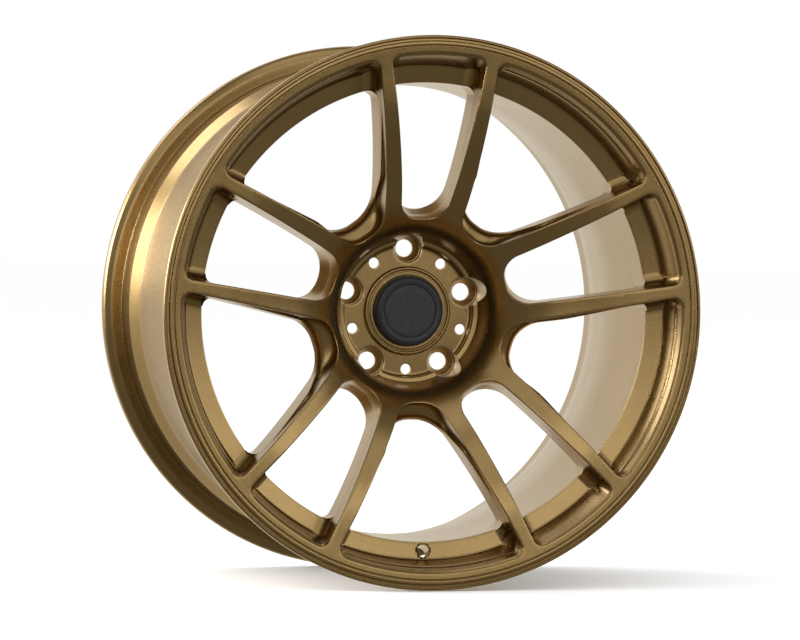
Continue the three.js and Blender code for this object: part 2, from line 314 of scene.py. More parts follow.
def ring_rise(distance):
    """How far the strip climbs towards the ring wall that is this far away."""
    s = np.clip(distance, 0, RING_FILLET)
    return RING_FILLET - np.sqrt(RING_FILLET**2 - (RING_FILLET - s) ** 2)


def end_rise(distance):
    """How far the strip climbs towards a spoke that is this far away."""
    s = np.clip(distance, 0, END_WIDTH)
    return END_RISE - np.sqrt(END_R**2 - (END_R - s) ** 2)


# ---------------------------------------------------------------- casting: windows


def meets_ring(start, way, ring_r):
    """Where a line meets the circle of radius ring_r about the spin axis."""
    b = start @ way
    return start + way * (math.sqrt(b * b - start @ start + ring_r**2) - b)


def touching_circle(start, way, away, ring_r, corner_r):
    """The arc of radius corner_r that touches a side line and, from inside, the circle ring_r."""
    centre = meets_ring(start - away * corner_r, way, ring_r - corner_r)
    return centre, centre + away * corner_r


def stepped_in(side, hub_inset, ring_inset):
    """A side line moved in by one distance at its hub point and another at its ring point."""
    a, b = np.array(side, float)
    way = (b - a) / np.linalg.norm(b - a)
    away = np.array([-way[1], way[0]])
    return a - away * hub_inset, b - away * ring_inset


class Window:
    """One kind of window. Its plan is drawn with x out along its centre line, and only its half y >= 0."""

    HUB, HUB_ARC, SIDE, END, CORNER, SHORT = 6, 14, 36, 6, 10, 6  # points along each stretch
    NEAR = HUB + HUB_ARC + SIDE - 2  # points as far as the start of the inner corner

    def __init__(self, side, hub_x, hub_radii, ring_count, levels, back):
        self.side, self.hub_x, self.hub_radii, self.ring_count = side, hub_x, hub_radii, ring_count
        self.levels, self.back = levels, (back[0], stepped_in(side, *back[1:]))
        _, self.strip_hub_x, self.strip_hub_depth, *insets, _ = levels[-1]
        self.strip_side = stepped_in(side, *insets)

    def hub_r(self, hub_x):
        """Corner radius at the hub end, from (x, radius) at the front edge and at the back edge."""
        return float(np.interp(hub_x, *zip(*self.hub_radii)))

    def corner_r(self, ring_r):
        """Corner radius at the ring end: it gets tighter from the front edge down to the strip."""
        return float(np.interp(ring_r, (STRIP_OUT_R, 230), (4.5, 9)))

    def lines(self, side, grow=0.0):
        """A side line moved outwards: a point on it, the way along it, and the way out of the window."""
        a, b = np.array(side, float)
        way = (b - a) / np.linalg.norm(b - a)
        away = np.array([-way[1], way[0]])
        return a + away * grow, way, away

    def inward(self, hub_x, a, way, away, ring_r, hub_r):
        """The hub end, and the side as far as the point where the inner corner starts."""
        p = a - away * hub_r
        centre = p + way * ((hub_x + hub_r - p[0]) / way[0])
        foot = centre + away * hub_r
        corner, stop = touching_circle(a, way, away, ring_r, INNER_CORNER)
        hub_end = np.stack([np.full(self.HUB, hub_x), np.linspace(0, centre[1], self.HUB)], 1)
        hub_arc = arc(centre, hub_r, math.pi, math.atan2(away[1], away[0]), self.HUB_ARC)
        side = foot + (stop - foot) * np.linspace(0, 1, self.SIDE)[:, None]
        return np.concatenate([hub_end[:-1], hub_arc[:-1], side]), corner

    def inner_corner(self, corner, away):
        """The arc from a side to the inner edge of the strip."""
        start, end = math.atan2(away[1], away[0]), math.atan2(corner[1], corner[0])
        return arc(corner, INNER_CORNER, start, end, self.END + self.CORNER)

    def ring_end(self, start, a, way, away, ring_r, corner_r):
        """On from the point start of a side, to the middle of the ring end."""
        centre, foot = touching_circle(a, way, away, ring_r, corner_r)
        angle = math.atan2(centre[1], centre[0])
        return np.concatenate([
            (start + (foot - start) * np.linspace(0, 1, self.END + 1)[1:, None])[:-1],
            arc(centre, corner_r, math.atan2(away[1], away[0]), angle, self.CORNER)[:-1],
            self.ring_arc(a, way, away, ring_r, angle),
        ])

    def ring_arc(self, a, way, away, ring_r, angle):
        """From an angle to the middle of the ring end, with a point where the strip's end fillet starts."""
        past = meets_ring(a - away * END_WIDTH, way, ring_r)
        past_angle = math.atan2(past[1], past[0])
        short = arc((0, 0), ring_r, angle, past_angle, self.SHORT + 1)
        return np.concatenate([short[:-1], arc((0, 0), ring_r, past_angle, 0, self.ring_count)])

    def upper(self, hub_x, side, ring_r, grow=0.0):
        """A whole half outline, from the hub end to the middle of the ring end, grown outwards."""
        a, way, away = self.lines(side, grow)
        near, _ = self.inward(hub_x - grow, a, way, away, STRIP_EDGE_R, self.hub_r(hub_x) + grow)
        corner_r = self.corner_r(ring_r) + grow
        return np.concatenate([near, self.ring_end(near[-1], a, way, away, ring_r + grow, corner_r)])

    def lower(self, hub_x, side, ring_r, grow=0.0):
        """The half outline below the strip: it ends where its inner corner fades into the barrel."""
        a, way, away = self.lines(side, grow)
        near, corner = self.inward(hub_x - grow, a, way, away, ring_r, self.hub_r(hub_x) + grow)
        return np.concatenate([near, self.inner_corner(corner, away)[1:]])


def smooth_step(t):
    t = np.clip(t, 0, 1)
    return t * t * (3 - 2 * t)


def wall_depth(plan, t, hub_depth=None):
    """Depth a share t of the way from the face to the back; near the hub end it may be set outright."""
    radius = np.hypot(*plan.T)
    depth = face_depth(radius) + t * (back_plain(radius) - face_depth(radius))
    if hub_depth is None:
        return depth
    near_hub = smooth_step((128 - plan[:, 0]) / 32)
    return depth + near_hub * (hub_depth - depth)


# A side is two points on it, the first near the hub. A level is (share of the depth, x of the hub end,
# depth of the hub end or None, inset of the side at the hub, inset at the ring, ring radius), and the
# levels follow the wall of a window from its front edge down to the strip, where the last one lies.
# The back edge is x of the hub end, and the two insets of the side.
NARROW = Window(
    side=((84, 20.2), (228, 44.5)), hub_x=84, hub_radii=((84, 18), (93.5, 24)), ring_count=12,
    levels=[
        (0.045, 84.6, None, 0.32, 0.32, 230.8), (0.14, 85.6, None, 0.36, 0.38, 229.6),
        (0.24, 86.7, None, 0.40, 0.45, 227.3), (None, 88, None, 0.6, 0.8, STRIP_OUT_R),
    ],
    back=(93.5, 0.6, 0.9),
)
LARGE = Window(
    side=((91, 21), (150, 53)), hub_x=82, hub_radii=((82, 22), (98.8, 30)), ring_count=24,
    levels=[
        (0.045, 82.2, 61.2, 0.34, 0.34, 230.8), (0.14, 82.6, 64.6, 0.4, 0.4, 229.6),
        (0.175, 83.6, 67.2, 0.8, 0.6, 229.3), (0.195, 85.6, 68.9, 1.7, 0.95, 228.7),
        (0.207, 88.4, 69.8, 2.8, 1.35, 228.1), (0.216, 91.2, 70.8, 3.8, 1.65, 227.7),
        (0.228, 93.6, 72.2, 4.4, 1.85, 227.4), (0.24, 95.6, 74.1, 4.8, 1.98, 227.2),
        (0.252, 97.1, 76.6, 5.0, 2.1, 227.0), (0.264, 98, 79.4, 5.1, 2.2, 226.7),
        (None, 98.5, 81.8, 5.2, 2.4, STRIP_OUT_R),
    ],
    back=(98.8, 5.4, 2.6),
)

STRIP_SKIRT = (STRIP_EDGE_R, 0), (BARREL_R + 0.25, 0.25), (BARREL_R + HIDDEN, 0.8)  # ring radius, drop
FRONT_EDGE = 1.2  # radius of the rounded front edges
FRONT_LIP = 0.3  # the drawn side of a window lies this far outside its wall
FRONT_R = 232.4
BACK_EDGE = 1.8


def window_walls(skin, window, place):
    """The wall of one half window. Returns its front and back edges."""
    rows = []

    def add(plan, depth):
        rows.append(np.column_stack([place(plan), depth]))

    for theta in np.radians([0, 30, 60, 90]):
        grow = FRONT_EDGE * (1 - math.sin(theta)) - FRONT_LIP
        plan = window.upper(window.hub_x, window.side, FRONT_R + FRONT_LIP, grow)
        if not theta:
            front_edge = place(plan)
        add(plan, face_depth(np.hypot(*plan.T)) + FRONT_EDGE * (1 - math.cos(theta)))
    for t, hub_x, hub_depth, hub_inset, ring_inset, ring_r in window.levels[:-1]:
        plan = window.upper(hub_x, stepped_in(window.side, hub_inset, ring_inset), ring_r)
        add(plan, wall_depth(plan, t, hub_depth))
    # down to the strip
    plan = window.upper(window.strip_hub_x, window.strip_side, STRIP_OUT_R)
    stop = plan[window.NEAR - 1]
    stop_r = float(np.hypot(*stop))
    stop_depth = strip_depth(stop_r) - END_RISE
    share = (stop_depth - face_depth(stop_r)) / (back_plain(stop_r) - face_depth(stop_r))
    depth = wall_depth(plan, share, window.strip_hub_depth)
    depth[window.NEAR - 1:] = strip_surface(window, plan[window.NEAR - 1:])
    add(plan, depth)
    skin.rows(rows)

    # below the strip
    rows = []
    for ring_r, drop in STRIP_SKIRT:
        plan = window.lower(window.strip_hub_x, window.strip_side, ring_r)
        depth = wall_depth(plan, share, window.strip_hub_depth)
        depth[window.NEAR - 1:] = strip_surface(window, plan[window.NEAR - 1:])
        add(plan, depth + drop)
    back_hub_x, back_side = window.back
    for t in (0.2, 0.4, 0.6, 0.8, 1):
        side = [s + t * (b - s) for s, b in zip(window.strip_side, back_side)]
        hub_x = window.strip_hub_x + t * (back_hub_x - window.strip_hub_x)
        plan = window.lower(hub_x, side, BARREL_R + HIDDEN)
        start = wall_depth(plan, share, window.strip_hub_depth) + STRIP_SKIRT[-1][1]
        end = back_depth(np.hypot(*plan.T)) - BACK_EDGE
        add(plan, start + t * (end - start))
    for theta in np.radians([30, 60, 90]):
        plan = window.lower(back_hub_x, back_side, BARREL_R + HIDDEN, BACK_EDGE * (1 - math.cos(theta)))
        add(plan, back_depth(np.hypot(*plan.T)) - BACK_EDGE * (1 - math.sin(theta)))
    skin.rows(rows)
    return front_edge, place(plan)


def strip_surface(window, plan):
    """Depth over a strip, which climbs in fillets to the spoke at its end and to the ring wall."""
    a, way, away = window.lines(window.strip_side)
    corner_r = window.corner_r(STRIP_OUT_R)
    centre, _ = touching_circle(a, way, away, STRIP_OUT_R, corner_r)
    radius = np.hypot(*plan.T)
    off = plan - centre
    in_corner = (off @ away > 0) & (off @ (centre / np.linalg.norm(centre)) > 0)
    edge = np.where(in_corner, corner_r - np.hypot(*off.T), STRIP_OUT_R - radius)
    rise = (end_rise((a - plan) @ away) ** 3 + ring_rise(edge) ** 3) ** (1 / 3)
    return strip_depth(radius) - rise


def strip_rows(window):
    """Rows of (x, y, depth) over one half strip, from its outer edge to its inner edge."""
    a, way, away = window.lines(window.strip_side)
    hub_x = window.strip_hub_x
    near, corner = window.inward(hub_x, a, way, away, STRIP_EDGE_R, window.hub_r(hub_x))
    outer = window.ring_end(near[-1], a, way, away, STRIP_OUT_R, window.corner_r(STRIP_OUT_R))
    outer = np.concatenate([near[-1:], outer])
    ring = window.ring_arc(a, way, away, STRIP_EDGE_R, math.atan2(corner[1], corner[0]))
    inner = np.concatenate([window.inner_corner(corner, away)[:-1], ring])
    rows = []
    for share in (0, 0.012, 0.03, 0.055, 0.085, 0.12, 0.16, 0.22, 0.3, 0.4, 0.5, 0.6, 0.7, 0.8, 0.9, 1):
        plan = (1 - share) * outer + share * inner
        rows.append(np.column_stack([plan, strip_surface(window, plan)]))
    return rows


def strip_skirt(window):
    """Rows from the inner edge of half a strip down into the barrel."""
    a, way, away = window.lines(window.strip_side)
    rows = []
    for ring_r, drop in (*STRIP_SKIRT, (BARREL_R + HIDDEN, 5)):
        corner, _ = touching_circle(a, way, away, ring_r, INNER_CORNER)
        plan = window.ring_arc(a, way, away, ring_r, math.atan2(corner[1], corner[0]))
        rows.append(np.column_stack([plan, strip_surface(window, plan) + drop]))
    return rows


def grid_points(rings, steps, outline, clearance):
    """Polar grid points of the half sector that lie inside an outline and clear of it."""
    angles = TOP + np.arange(steps + 1) * HALF_SECTOR / steps
    r, t = np.meshgrid(rings, angles, indexing="ij")
    points = np.stack([r.ravel() * np.cos(t.ravel()), r.ravel() * np.sin(t.ravel())], 1)
    a, b = outline, np.roll(outline, -1, 0)
    way = b - a
    length2 = (way**2).sum(1)
    keep = []
    for p in points:
        share = np.clip(((p - a) * way).sum(1) / length2, 0, 1)
        near = np.hypot(*(a + way * share[:, None] - p).T).min()
        crosses = (a[:, 1] > p[1]) != (b[:, 1] > p[1])
        x_at = a[:, 0] + (p[1] - a[:, 1]) / np.where(crosses, way[:, 1], 1) * way[:, 0]
        inside = (crosses & (p[0] < x_at)).sum() % 2 == 1
        keep.append(inside and near > clearance)
    return points[keep]


def radial_points(start, end, angle, rings, clearance=0.35):
    """Points on a ray, strictly between two radii, where the rings cross it, in that order."""
    lo, hi = min(start, end), max(start, end)
    r = np.array([x for x in rings if lo + clearance < x < hi - clearance])
    if start > end:
        r = r[::-1]
    return np.stack([r * math.cos(angle), r * math.sin(angle)], 1).reshape(-1, 2)


# ---------------------------------------------------------------- casting: hub details

LUG_PITCH_R = 57.15
COUNTERBORE_R = 13.5
SEAT_R = 12.3
STUD_HOLE_R = 8
SMALL_PITCH_R = 53.5
SMALL_R = 4.8
SMALL_EDGE = 0.45  # how far the rounded front edge of a small hole reaches out
LUG_EDGE = 0.5
SEAT_DEPTH = 110.8
POCKET_FLOOR = 108.5
MIDDLE = TOP + HALF_SECTOR


def crossing_angles(pitch, radius, rings):
    """Angles on a circle centred at a pitch radius, from its outermost point, where rings cross it."""
    found = []
    for ring in rings:
        c = (ring**2 - pitch**2 - radius**2) / (2 * pitch * radius)
        if abs(c) < 1:
            found.append(math.acos(c))
    return found


def half_circle(pitch, radius, angles):
    """Half a circle on the ray y = 0 at its pitch radius, on the side y >= 0, at angles from outermost."""
    return np.stack([pitch + radius * np.cos(angles), radius * np.sin(angles)], 1)


# A lug hole's outline has a point wherever a ring of the steep part of the face crosses it.
STEEP_RINGS = [r for r in FACE_RINGS if 58.4 < r < 66.5]
RING_ANGLES = crossing_angles(LUG_PITCH_R, COUNTERBORE_R + LUG_EDGE, STEEP_RINGS)
LUG_ANGLES = np.array(sorted(RING_ANGLES + [
    a for a in np.linspace(0, math.pi, 49)
    if a in (0, math.pi) or min(abs(a - b) for b in RING_ANGLES) > 0.03
]))

POCKET = subdivided(rounded([(43.5, 0, 0), (43.5, 9, 4), (67, 16.5, 5), (67, 0, 0)]), 2.5)


def pocket_outline(grow):
    """Half the outline of a back pocket, moved out along its normals."""
    along = np.gradient(POCKET, axis=0)
    along /= np.hypot(*along.T)[:, None]
    return POCKET + grow * np.column_stack([-along[:, 1], along[:, 0]])


def at_top(plan):
    return turn_plan(plan, TOP)


def at_middle(plan):
    return turn_plan(plan, MIDDLE, flip=True)


def stack(skin, levels, place):
    """A wall through (plan, depth) levels."""
    skin.rows([np.column_stack([place(plan), np.full(len(plan), 0.0) + depth]) for plan, depth in levels])


def build_hub_details(skin):
    """Lug holes, small holes and back pockets of the half sector. Returns their edges on the two sheets."""
    lug = lambda radius: half_circle(LUG_PITCH_R, radius, LUG_ANGLES)
    levels = []
    for grow, drop in ((LUG_EDGE, 0), (0.15, 0.12), (0, LUG_EDGE)):
        plan = lug(COUNTERBORE_R + grow)
        levels.append((plan, face_depth(np.hypot(*plan.T)) + drop))
    for radius, depth in (
        (COUNTERBORE_R, SEAT_DEPTH - 0.8), (COUNTERBORE_R - 0.25, SEAT_DEPTH - 0.25),
        (COUNTERBORE_R - 0.8, SEAT_DEPTH), (SEAT_R, SEAT_DEPTH), (SEAT_R - 0.4, SEAT_DEPTH + 0.5),
        (STUD_HOLE_R + 0.15, 117.9), (STUD_HOLE_R, 118.4), (STUD_HOLE_R, MOUNT_DEPTH - 0.7),
        (STUD_HOLE_R + 0.7, MOUNT_DEPTH),
    ):
        levels.append((lug(radius), depth))
    stack(skin, levels, at_top)

    small_angles = np.linspace(0, math.pi, 25)
    small = lambda radius: half_circle(SMALL_PITCH_R, radius, small_angles)
    stack(skin, [
        (small(SMALL_R + SMALL_EDGE), PAD_DEPTH), (small(SMALL_R + 0.12), PAD_DEPTH + 0.12),
        (small(SMALL_R), PAD_DEPTH + 0.5), (small(SMALL_R), POCKET_FLOOR - 0.4),
        (small(SMALL_R + 0.4), POCKET_FLOOR),
    ], at_middle)
    stack(skin, [
        (pocket_outline(0.8), MOUNT_DEPTH), (pocket_outline(0.25), MOUNT_DEPTH - 0.25),
        (pocket_outline(0), MOUNT_DEPTH - 0.8), (pocket_outline(-0.4), POCKET_FLOOR + 1.6),
        (pocket_outline(-0.9), POCKET_FLOOR + 0.5), (pocket_outline(-2), POCKET_FLOOR),
    ], at_middle)
    floor_edge = at_middle(pocket_outline(-2))
    hole_edge = at_middle(small(SMALL_R + 0.4))
    skin.sheet(
        np.concatenate([floor_edge, hole_edge]), np.zeros((0, 2)),
        lambda r: np.full_like(r, POCKET_FLOOR), front=False,
    )
    return {
        "lug_front": at_top(lug(COUNTERBORE_R + LUG_EDGE)), "lug_back": at_top(lug(STUD_HOLE_R + 0.7)),
        "small_front": at_middle(small(SMALL_R + SMALL_EDGE)),
        "pocket_back": at_middle(pocket_outline(0.8)),
    }


def turned_arc(radius, start, end, steps):
    """An arc about the spin axis."""
    return arc((0, 0), radius, start, end, steps + 1)


def build_spider():
    """Spokes, hub and the front of the rim as one skin."""
    skin = Skin()
    narrow_front, narrow_back = window_walls(skin, NARROW, at_top)
    large_front, large_back = window_walls(skin, LARGE, at_middle)
    edges = build_hub_details(skin)

    # front sheet
    radius = lambda p: float(np.hypot(*p))
    lug, small = edges["lug_front"], edges["small_front"]
    outline = np.concatenate([
        lug,
        radial_points(radius(lug[-1]), COLLAR_R, TOP, FACE_RINGS),
        turned_arc(COLLAR_R, TOP, MIDDLE, HUB_STEPS),
        radial_points(COLLAR_R, radius(small[-1]), MIDDLE, FACE_RINGS),
        small[::-1],
        radial_points(radius(small[0]), radius(large_front[0]), MIDDLE, FACE_RINGS),
        large_front,
        radial_points(radius(large_front[-1]), LAND_R, MIDDLE, FACE_RINGS),
        turned_arc(LAND_R, MIDDLE, TOP, RIM_STEPS),
        radial_points(LAND_R, radius(narrow_front[-1]), TOP, FACE_RINGS),
        narrow_front[::-1],
        radial_points(radius(narrow_front[0]), radius(lug[0]), TOP, FACE_RINGS),
    ])
    # rings nearer the hub than the windows have HUB_STEPS facets, and the rest RIM_STEPS
    hub_rings = FACE_RINGS[(FACE_RINGS < 82) & (FACE_RINGS > COLLAR_R)]
    rim_rings = FACE_RINGS[(FACE_RINGS > 82) & (FACE_RINGS < LAND_R)]
    inner = np.concatenate([
        grid_points(hub_rings, HUB_STEPS, outline, 0.3), grid_points(rim_rings, RIM_STEPS, outline, 0.8),
    ])
    skin.sheet(outline, inner, face_depth, front=True)

    # back sheet
    lug, pocket = edges["lug_back"], edges["pocket_back"]
    narrow_angle = math.atan2(narrow_back[-1][1], narrow_back[-1][0])
    large_angle = math.atan2(large_back[-1][1], large_back[-1][0])
    outline = np.concatenate([
        lug,
        radial_points(radius(lug[-1]), BORE_BACK_R, TOP, BACK_RINGS),
        turned_arc(BORE_BACK_R, TOP, MIDDLE, HUB_STEPS),
        radial_points(BORE_BACK_R, radius(pocket[0]), MIDDLE, BACK_RINGS),
        pocket,
        radial_points(radius(pocket[-1]), radius(large_back[0]), MIDDLE, BACK_RINGS),
        large_back,
        turned_arc(BARREL_R + 1, large_angle, narrow_angle, 4),
        narrow_back[::-1],
        radial_points(radius(narrow_back[0]), radius(lug[0]), TOP, BACK_RINGS),
    ])
    hub_rings = BACK_RINGS[(BACK_RINGS < 86) & (BACK_RINGS > BORE_BACK_R)]
    rim_rings = BACK_RINGS[BACK_RINGS > 86]
    inner = np.concatenate([
        grid_points(hub_rings, HUB_STEPS, outline, 0.3), grid_points(rim_rings, RIM_STEPS, outline, 0.8),
    ])
    skin.sheet(outline, inner, back_depth, front=False)
    skin.repeat_half_sector()

    build_strips(skin)
    return skin


VALVE_PITCH_R = 214.7
VALVE_R = 5.65
VALVE_CHAMFER = 0.75
VALVE_STEPS = 56
BOTTOM = -math.pi / 2


def build_strips(skin):
    """Each strip between the spokes, and the one at the bottom with the valve hole."""
    for window, first in ((NARROW, TOP), (LARGE, MIDDLE)):
        rows, skirt = strip_rows(window), strip_skirt(window)
        for k in range(LUGS):
            angle = first + 2 * k * HALF_SECTOR
            place_strip(skin, skirt, angle)
            at_bottom = math.cos(angle - BOTTOM) > 0.999
            if at_bottom:
                build_valve_strip(skin, rows, angle)
            else:
                place_strip(skin, rows, angle)


def place_strip(skin, rows, angle):
    """Adds half a strip and its mirror image."""
    for flip in (False, True):
        turned = [np.column_stack([turn_plan(r[:, :2], angle, flip), r[:, 2]]) for r in rows]
        skin.rows(turned if flip else turned[::-1])


def build_valve_strip(skin, rows, angle):
    """The strip that the valve hole goes through."""
    mirror = [1, -1, 1]
    half = np.concatenate(rows)
    both = np.concatenate([half, half[half[:, 1] > 1e-6] * mirror])
    outer, inner = rows[0], rows[-1]
    loop = np.concatenate([outer, (outer * mirror)[::-1][1:], inner[1:] * mirror, inner[::-1][1:-1]])
    turn = np.linspace(0, 2 * math.pi, VALVE_STEPS + 1)[:-1]
    circle = lambda radius: np.stack([VALVE_PITCH_R + radius * np.cos(turn), radius * np.sin(turn)], 1)
    rim = circle(VALVE_R + VALVE_CHAMFER)
    on_loop = {tuple(np.round(p[:2], 5)) for p in loop}
    inner_points = np.array([
        p[:2] for p in both
        if tuple(np.round(p[:2], 5)) not in on_loop
        and math.hypot(p[0] - VALVE_PITCH_R, p[1]) > VALVE_R + VALVE_CHAMFER + 0.5
    ])
    plan = [Vector(p[:2]) for p in loop] + [Vector(p) for p in rim] + [Vector(p) for p in inner_points]
    n = len(loop)
    faces_in = [list(range(n)), list(range(n, n + len(rim)))]
    points, _, faces, *_ = delaunay_2d_cdt(plan, [], faces_in, 1, 1e-7)
    flat = np.array([tuple(p) for p in points])
    known = {tuple(np.round(p[:2], 4)): p[2] for p in both}
    depth = np.array([
        known.get(tuple(np.round(p, 4)), float(strip_depth(np.hypot(*p)))) for p in flat
    ])
    kept = [
        f for f in faces
        if math.hypot(*(flat[list(f)].mean(0) - [VALVE_PITCH_R, 0])) > VALVE_R + VALVE_CHAMFER * 0.9
    ]
    skin.add(np.column_stack([turn_plan(flat, angle), depth]), kept)
    # the bore is drawn just inside the one drilled through the barrel
    bore_r = VALVE_R - 0.05
    levels = []
    for radius, sink in ((VALVE_R + VALVE_CHAMFER, 0), (bore_r, VALVE_CHAMFER), (bore_r, 4.5)):
        ring = circle(radius)
        plan = ring + [sink * STRIP_SLOPE, 0]
        levels.append(np.column_stack([turn_plan(plan, angle), strip_depth(np.hypot(*ring.T)) + sink]))
    skin.rows(levels, closed=True)


# ---------------------------------------------------------------- casting: barrel and collar

# (radius, depth, corner radius) right round the section of the rim
BARREL_PROFILE = [
    # front lip and its two grooves
    (LAND_R, 0.3, 0), (237.7, 0.3, 0.25), (238.0, 1.9, 0.35), (239.0, 1.9, 0.35), (239.3, 0.35, 0.5),
    (240.4, 0, 0.8), (242.5, 0, 0.7), (243.2, 2.0, 0.6), (245.3, 2.0, 0.6), (246.0, 0, 0.5),
    # front flange, bead seat and hump
    (LIP_R, 0, 2.0), (LIP_R, 8.6, 5.5), (241, 13, 6), (231.6, 13, 0.8), (231, 14.5, 1.2),
    (229.4, 33, 2.5), (229, 38.8, 3),
    # drop centre
    (220.8, 46, 5), (212, 58, 8), (212, 165, 20), (222, 236, 12),
    # rear hump, bead seat and flange
    (229.6, 251, 2), (229.7, 256, 1.2), (229.2, 260, 3), (231, 278.2, 1.2), (231.6, 279.7, 0.8),
    (241, 279.7, 6), (LIP_R, WIDTH - 8.6, 5.5), (LIP_R, WIDTH, 2.2), (245.2, WIDTH, 0.6),
    (244.7, WIDTH - 0.9, 0.4), (243.2, WIDTH - 0.9, 0.4), (242.7, WIDTH, 0.6), (229.2, WIDTH, 1.4),
    # inside of the barrel
    (226.2, WIDTH - 4.8, 1.5), (225.4, 268, 12), (216.5, 236, 330), (BARREL_R, 150, 520), (BARREL_R, 36, 0),
    (BARREL_R + 0.25, 35.45, 0), (STRIP_EDGE_R, STRIP_EDGE_DEPTH, 0),
    # hidden behind the strips and the ring
    (209.5, 37.2, 0), (222.8, 34.4, 0), (226.6, 22, 0), (229.6, 11, 0), (234.6, 2.6, 0), (LAND_R, 0.3, 0),
]


def build_barrel():
    skin = Skin()
    profile = subdivided(rounded(BARREL_PROFILE), 6)
    skin.lathe(profile[:-1], 2 * LUGS * RIM_STEPS, closed=True)
    barrel = skin.make("rim_barrel", weld=0.002)
    cut(barrel, valve_drill())
    return barrel


def valve_drill():
    """A closed cylinder through the wall, square to the strip."""
    bm = bmesh.new()
    radius = VALVE_R * MM
    bmesh.ops.create_cone(
        bm, cap_ends=True, segments=VALVE_STEPS, radius1=radius, radius2=radius, depth=60 * MM,
    )
    tilt = math.atan(STRIP_SLOPE)
    place = Vector((0, LIP_Y + strip_depth(VALVE_PITCH_R) * MM, -VALVE_PITCH_R * MM))
    turn = Matrix.Rotation(math.pi / 2 - tilt, 4, "X")
    bmesh.ops.transform(bm, matrix=Matrix.Translation(place) @ turn, verts=bm.verts)
    mesh = bpy.data.meshes.new("valve_drill")
    bm.to_mesh(mesh)
    bm.free()
    drill = bpy.data.objects.new("valve_drill", mesh)
    bpy.context.scene.collection.objects.link(drill)
    return drill


def build_collar():
    """The ring round the cap, its seat, and the bore behind it."""
    skin = Skin()
    profile = rounded([
        (COLLAR_R, PAD_DEPTH, 0), (40.6, 102.2, 0.6), (39.4, 100.5, 0.8), (38.0, 100.5, 0.5),
        (37.1, 102.4, 0.4), (35.9, 102.4, 0.4), (35.4, 101.0, 0.4), (32.7, 101.0, 0.3), (32.7, 102.8, 0.2),
        (30.8, 102.8, 0.3), (30.8, 109.3, 0.3), (36.55, 109.3, 0.5), (36.55, MOUNT_DEPTH - 1.8, 0.2),
        (BORE_BACK_R, MOUNT_DEPTH, 0),
    ])
    skin.lathe(profile, 2 * LUGS * HUB_STEPS)
    return skin


# ---------------------------------------------------------------- centre cap

CAP_STEPS = 120
AXIS_R = 0.02  # a profile that reaches the spin axis stops this close to it
INSERT_R = 24
LEGS = 6
LEG_R = 29.9
LEG_IN_R = 27.9
BARB_R = 30.4
SLOT_START = 103.6
SLOT = 8, 12, 6  # across the leg's wall, along the axis, and round the skirt


def build_cap_body():
    """The moulded cap: its face with a seat for the insert, and a slotted skirt of snap legs."""
    skin = Skin()
    seat_r, seat, web_back = INSERT_R + 0.3, CAP_FRONT + 2.5, 97
    profile = rounded([
        (AXIS_R, seat, 0), (seat_r, seat, 0), (seat_r, CAP_FRONT + 0.3, 0.4), (28.4, CAP_FRONT - 0.1, 2.5),
        (31.2, 93.2, 2.2), (CAP_R, 99, 4), (CAP_R, 102.5, 0.3), (LEG_R, 102.5, 0.2), (LEG_R, 109.8, 0.2),
        (BARB_R, 110.4, 0.2), (BARB_R, 111.2, 0.2), (29.4, CAP_BACK, 0.4), (LEG_IN_R, CAP_BACK, 0.3),
        (LEG_IN_R, web_back, 0.8), (AXIS_R, web_back, 0),
    ])
    skin.lathe(profile, CAP_STEPS, closed=True)
    body = skin.make("cap_body_moulding", weld=0.002)
    slots = bmesh.new()
    size = Matrix.Diagonal(Vector(SLOT)).to_4x4()
    place = Matrix.Translation(Vector((29 * MM, LIP_Y + (SLOT_START + SLOT[1] / 2) * MM, 0)))
    for i in range(LEGS):
        turn = Matrix.Rotation(i * 2 * math.pi / LEGS, 4, "Y")
        bmesh.ops.create_cube(slots, size=MM, matrix=turn @ place @ size)
    mesh = bpy.data.meshes.new("leg_slots")
    slots.to_mesh(mesh)
    slots.free()
    cutter = bpy.data.objects.new("leg_slots", mesh)
    bpy.context.scene.collection.objects.link(cutter)
    cut(body, cutter)
    return body


def build_cap_insert():
    """The disc in the cap's face, left plain."""
    skin = Skin()
    back = CAP_FRONT + 2.2
    profile = rounded([
        (AXIS_R, CAP_FRONT, 0), (22.6, CAP_FRONT + 0.05, 6), (INSERT_R, CAP_FRONT + 0.6, 0.5),
        (INSERT_R, back, 0.1), (AXIS_R, back, 0),
    ])
    skin.lathe(subdivided(profile, 3), CAP_STEPS, closed=True)
    return skin.make("cap_insert_disc", weld=0.002)


def build_wire_ring():
    """Open spring ring inside the cap's legs."""
    wire_r = 0.9
    ring_r = 26.6
    depth = 108
    half_gap = math.radians(12)
    facets = 16
    turn = np.linspace(0, 2 * math.pi, facets + 1)[:-1]
    r = ring_r + wire_r * np.cos(turn)
    skin = Skin()
    rows = []
    for t in np.linspace(half_gap - TOP, 2 * math.pi - half_gap - TOP, CAP_STEPS + 1):
        rows.append(np.stack([r * math.cos(t), r * math.sin(t), depth + wire_r * np.sin(turn)], 1))
    skin.rows(rows, closed=True)
    for end in (rows[0], rows[-1]):
        skin.add(end, [tuple(range(facets))])
    return skin.make("cap_wire_ring", weld=0.002)


# ---------------------------------------------------------------- materials


def new_material(name, **sockets):
    """A material with a Principled shader: socket names are given with _ for each space."""
    material = bpy.data.materials.new(name)
    material.use_nodes = True
    shader = material.node_tree.nodes["Principled BSDF"]
    for socket, value in sockets.items():
        shader.inputs[socket.replace("_", " ")].default_value = value
    return material, material.node_tree, shader


def noise(tree, scale, detail):
    """Noise fixed to the piece, scale features to the metre."""
    where = tree.nodes.new("ShaderNodeTexCoord")
    node = tree.nodes.new("ShaderNodeTexNoise")
    node.inputs["Scale"].default_value = scale
    node.inputs["Detail"].default_value = detail
    tree.links.new(where.outputs["Object"], node.inputs["Vector"])
    return node.outputs["Fac"]


